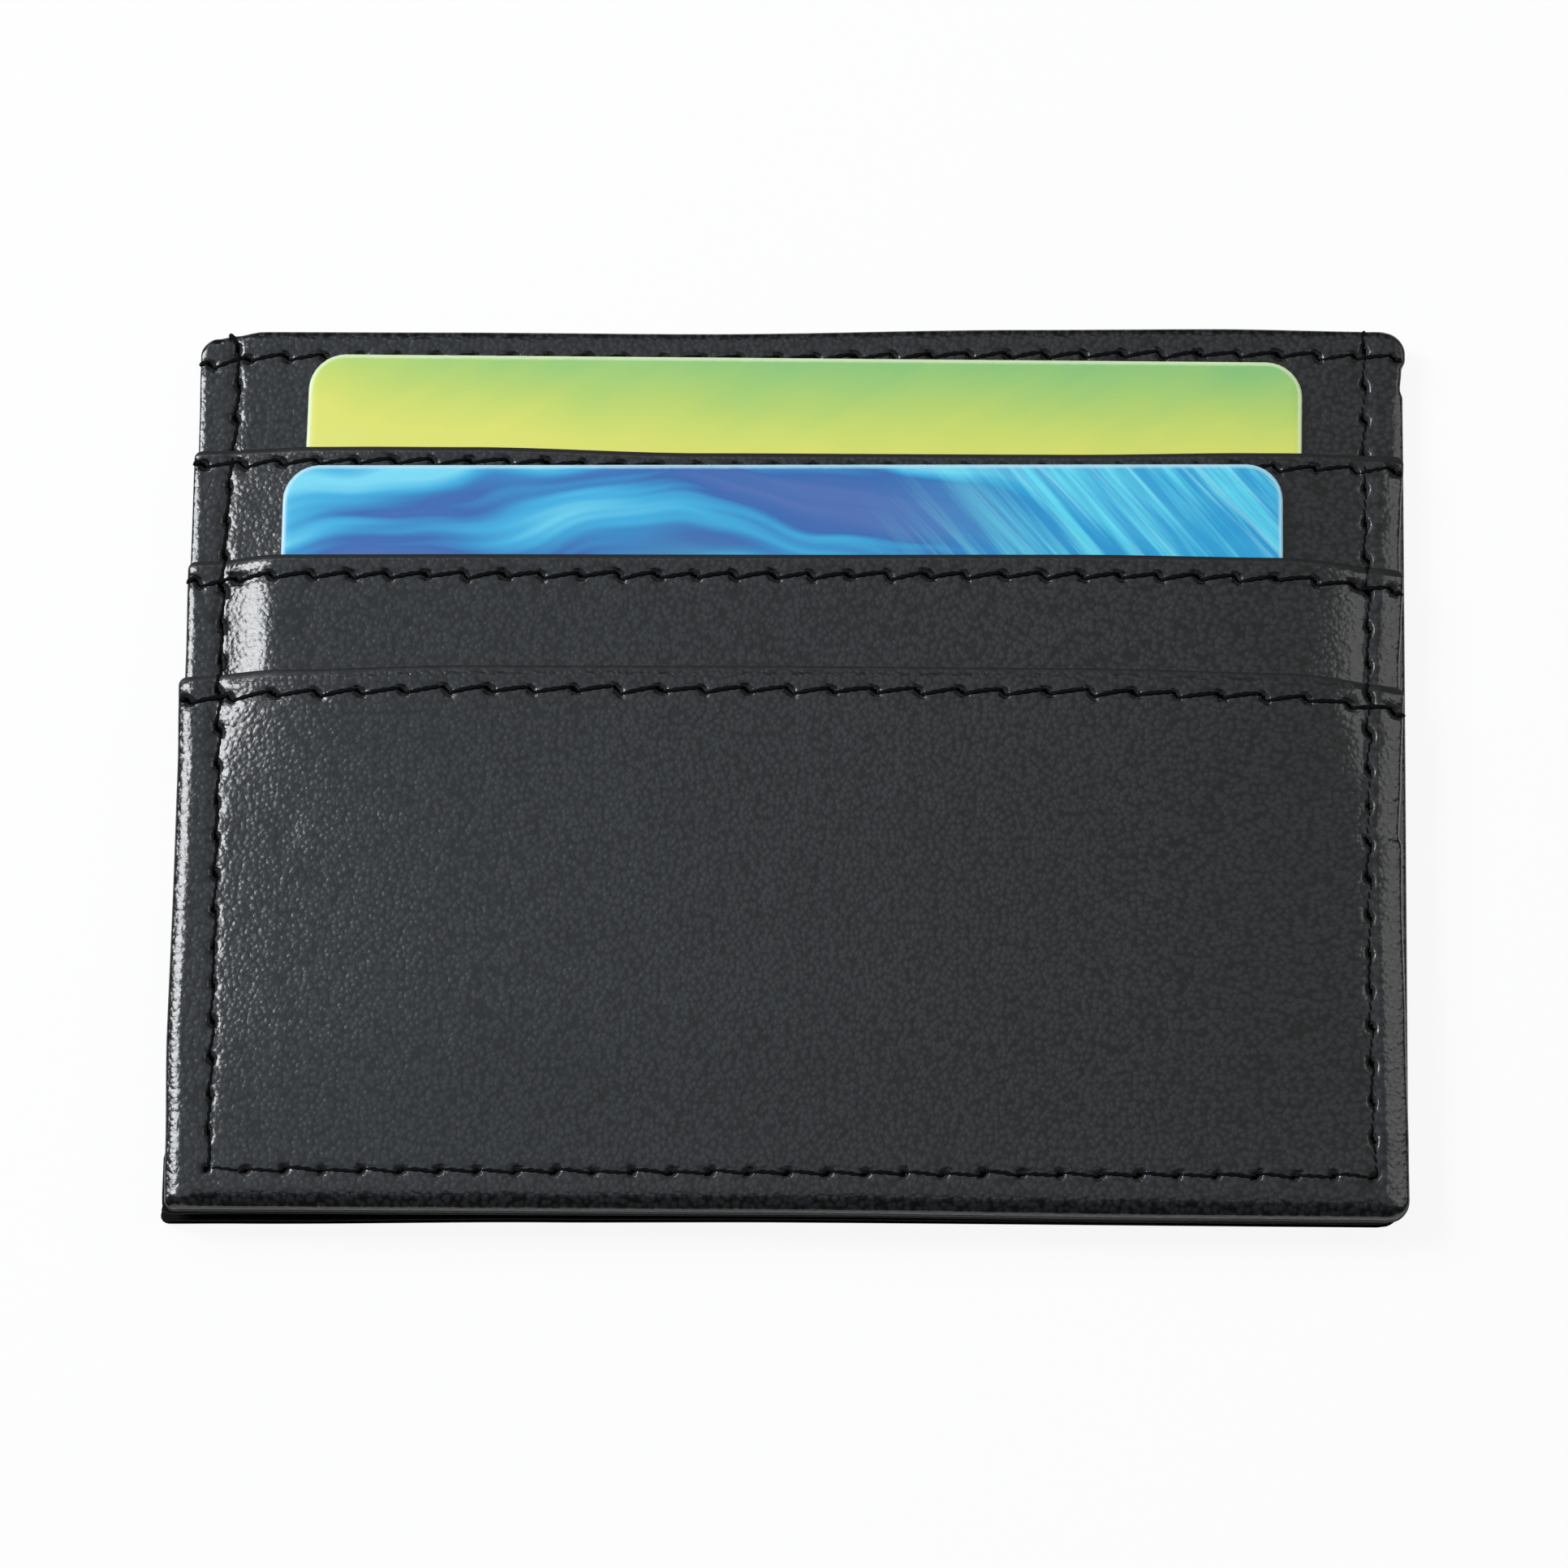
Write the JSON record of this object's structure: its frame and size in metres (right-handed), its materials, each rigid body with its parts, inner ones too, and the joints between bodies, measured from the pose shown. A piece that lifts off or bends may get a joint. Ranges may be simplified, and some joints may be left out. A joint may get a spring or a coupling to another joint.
{
  "type": "card holder",
  "caption": "Slim leather card holder with RFID shielding: stepped front pockets with two cards in them, an open pocket between its halves and a slip pocket on the back.",
  "frame": {"origin": "under the middle of the holder, on the outer face of the back pocket that it lies on", "axes": "+X along the mouth, to the right as seen from the front; +Y out of the mouth, the way the cards come out; +Z out of the front face"},
  "size_m": [0.1036, 0.078, 0.0066],
  "materials": {
    "black_leather": "satin black leather with a fine pebble grain and a light gloss",
    "black_lining": "matt black woven lining",
    "shield_foil": "thin bright foil",
    "black_thread": "twisted black polyester thread",
    "green_card": "printed laminated card, green to yellow",
    "blue_card": "printed laminated card, blue to cyan"
  },
  "bodies": {
    "holder": {"back_pocket": "black_leather", "back_pocket_left_hem": "black_leather", "back_pocket_right_hem": "black_leather", "back_pocket_bottom_hem": "black_leather", "back_pocket_stitching": "black_thread", "back_panel": "black_leather", "back_panel_stitching": "black_thread", "back_rfid_shield": "shield_foil", "back_lining": "black_lining", "centre_left_hem": "black_leather", "centre_right_hem": "black_leather", "centre_bottom_hem": "black_leather", "front_lining": "black_lining", "front_rfid_shield": "shield_foil", "base_panel": "black_leather", "base_panel_stitching": "black_thread", "pocket_1": "black_leather", "pocket_1_lining": "black_lining", "pocket_1_left_hem": "black_leather", "pocket_1_right_hem": "black_leather", "pocket_1_floor": "black_lining", "pocket_1_stitching": "black_thread", "pocket_2": "black_leather", "pocket_2_lining": "black_lining", "pocket_2_left_hem": "black_leather", "pocket_2_right_hem": "black_leather", "pocket_2_floor": "black_lining", "pocket_2_stitching": "black_thread", "front_panel": "black_leather", "front_panel_left_hem": "black_leather", "front_panel_right_hem": "black_leather", "front_panel_bottom_fold": "black_leather", "front_panel_stitching": "black_thread", "perimeter_seam_front": "black_thread", "perimeter_seam_back": "black_thread"},
    "green_card": {"green_card": "green_card"},
    "blue_card": {"blue_card": "blue_card"}
  },
  "joints": [
    {"name": "green_card_slide", "type": "slide", "parent": "holder", "child": "green_card", "axis": [0, 1, 0], "range_m": [0, 0.058]},
    {"name": "blue_card_slide", "type": "slide", "parent": "holder", "child": "blue_card", "axis": [0, 1, 0], "range_m": [0, 0.069]}
  ]
}
